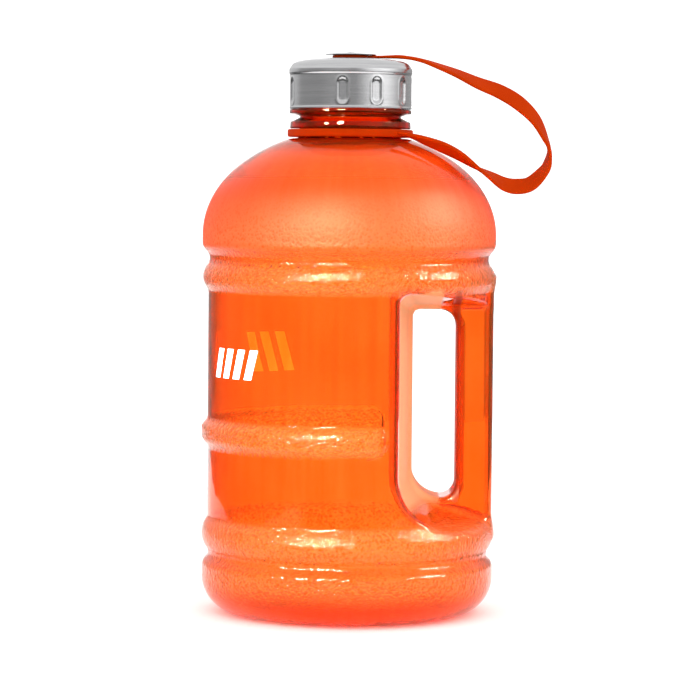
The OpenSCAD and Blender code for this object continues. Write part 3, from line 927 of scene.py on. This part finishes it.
# Below it:
FLOOR_ROOM = (
    (-180, 1.3), (-173, 1.3), (-166, 0.45), (-138, 0.08), (110, 0.08), (168, 0.35), (173, 1.3), (180, 1.3),
)
HORIZON_BLEND = 0.02        # sines of the heights over which the room changes
CEILING_STARTS = (0.15, 0.4)
# Lamps: azimuth in degrees as above, height, distance and size in metres, and power
LAMPS = {
    "left_box": (-46, 0.50, 1.5, (0.22, 0.16), 36),
    "middle_box": (-18, 0.75, 1.6, (0.34, 0.55), 180),
    "right_box": (78, 0.85, 1.5, (0.45, 0.45), 90),
}
LAMP_AIM = Vector((0, 0, 0.13))
CAMERA_AT = Vector((0.0007, -1.365, 0.1976))
CAMERA_PITCH, CAMERA_ROLL = math.radians(90 - 3.2), math.radians(0.48)


def studio_floor():
    """A pale table that ends in front of the jug, where the dark side of the room begins."""
    side, front, back = 0.42, -0.4, 1.1
    mesh = bpy.data.meshes.new("studio_floor")
    corners = [(-side, front, 0), (side, front, 0), (side, back, 0), (-side, back, 0)]
    mesh.from_pydata(corners, [], [(0, 1, 2, 3)])
    floor = bpy.data.objects.new("studio_floor", mesh)
    bpy.context.scene.collection.objects.link(floor)
    p = Painter("studio_floor", Roughness=0.9, Specular_IOR_Level=0.0, Emission_Strength=0.12)
    p.shader.inputs["Emission Color"].default_value = (1, 1, 1, 1)
    tone = p.noise(p.place(), 3.0, detail=2.0)
    p.link(p.ramp(tone, [(0.0, (0.93, 0.93, 0.93, 1)), (1.0, (0.95, 0.95, 0.95, 1))]), "Base Color")
    mesh.materials.append(p.material)


def studio_world():
    """White all round. Reflections see a darker room instead, with its brightest wall to the right."""
    world = bpy.data.worlds.new("studio")
    bpy.context.scene.world = world
    world.use_nodes = True
    tree = world.node_tree

    def add(kind, *links, **settings):
        """A node whose inputs are set or linked in their order; None leaves one as it is."""
        node = tree.nodes.new(kind)
        for key, value in settings.items():
            setattr(node, key, value)
        for k, source in enumerate(links):
            if isinstance(source, (int, float)):
                node.inputs[k].default_value = source
            elif source is not None:
                tree.links.new(source, node.inputs[k])
        return node

    white = tree.nodes["Background"]
    white.inputs["Color"].default_value = (1, 1, 1, 1)
    white.inputs["Strength"].default_value = WHITE_LIGHT
    direction = add("ShaderNodeSeparateXYZ", add("ShaderNodeTexCoord").outputs["Generated"]).outputs
    toward = add("ShaderNodeMath", direction[1], -1.0, operation="MULTIPLY").outputs[0]
    azimuth = add("ShaderNodeMath", direction[0], toward, operation="ARCTAN2").outputs[0]
    turn = add("ShaderNodeMath", azimuth, 0.5 / math.pi, 0.5, operation="MULTIPLY_ADD").outputs[0]
    level = []
    for table in (FLOOR_ROOM, ROOM):
        room = add("ShaderNodeValToRGB", turn)
        elements = room.color_ramp.elements
        while len(elements) < len(table):
            elements.new(0.5)
        for element, (degrees, value) in zip(elements, table):
            element.position = degrees / 360 + 0.5
            element.color = (value, value, value, 1)
        level.append(room.outputs[0])
    above = add("ShaderNodeMapRange", direction[2], -HORIZON_BLEND, HORIZON_BLEND, 0.0, 1.0).outputs[0]
    high = add("ShaderNodeMapRange", direction[2], *CEILING_STARTS, 0.0, 1.0).outputs[0]
    wall = add("ShaderNodeMix", above, None, *level).outputs[0]
    seen = add("ShaderNodeBackground", add("ShaderNodeMix", high, None, wall, CEILING).outputs[0])
    rays = add("ShaderNodeLightPath")
    mix = add("ShaderNodeMixShader", rays.outputs["Is Glossy Ray"], white.outputs[0], seen.outputs[0])
    tree.links.new(mix.outputs[0], tree.nodes["World Output"].inputs["Surface"])


def soft_box(name, azimuth, height, distance, size, power, lit):
    """A lamp that shows only in the reflections of the pieces in the collection lit."""
    data = bpy.data.lights.new(name, "AREA")
    data.shape = "RECTANGLE"
    data.size, data.size_y = size
    data.energy = power
    lamp = bpy.data.objects.new(name, data)
    lamp.visible_diffuse = False
    lamp.visible_transmission = False
    lamp.light_linking.receiver_collection = lit
    bpy.context.scene.collection.objects.link(lamp)
    a = math.radians(azimuth)
    lamp.location = (distance * math.sin(a), -distance * math.cos(a), height)
    aim = LAMP_AIM - lamp.location
    lamp.rotation_euler = aim.to_track_quat("-Z", "Y").to_euler()


def camera():
    data = bpy.data.cameras.new("camera")
    data.sensor_width = 36
    data.lens = 151.9
    cam = bpy.data.objects.new("camera", data)
    bpy.context.scene.collection.objects.link(cam)
    turn = Matrix.Rotation(CAMERA_PITCH, 4, "X") @ Matrix.Rotation(CAMERA_ROLL, 4, "Z")
    cam.matrix_world = Matrix.Translation(CAMERA_AT) @ turn
    bpy.context.scene.camera = cam


# ---------------------------------------------------------------- the object

plastic = jug_plastic()
silicone = strap_silicone()
steel = brushed("brushed_steel", (0.70, 0.70, 0.71), 0.22, 0.000006)
bright = polished_steel()

wall = jug_wall()
paint(wall, plastic)
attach(wall, "jug")
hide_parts("jug_body")

# the printed bars glow white: painted light
ink = glowing_print_ink()
bars = [print_bar(f"bar_{k}", *bar) for k, bar in enumerate(BARS)]
motif = joined(bars, "printed_motif")
paint(motif, ink)
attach(motif, "jug")

band = strap()
paint(band, silicone)
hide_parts("neck_strap", "strap_eye")
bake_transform(band)

cover = cap_cover()
paint(cover, steel)
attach(cover, "cap")
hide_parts("cap_shell")

disc = top_disc()
paint(disc, bright)
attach(disc, "rivet")
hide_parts("rivet_disc")

pin = rivet_pin()
paint(pin, bright)
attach(pin, "rivet")
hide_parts("rivet")

paint(nodes["cap_liner"], liner_plastic())
paint(nodes["cap_gasket"], gasket_silicone())
paint(nodes["rivet_washer"], bright)

studio_floor()
studio_world()
lit = bpy.data.collections.new("lit")
lit.objects.link(wall)
for lamp_name, lamp_values in LAMPS.items():
    soft_box(lamp_name, *lamp_values, lit)
camera()
bpy.context.scene.view_settings.view_transform = "Standard"
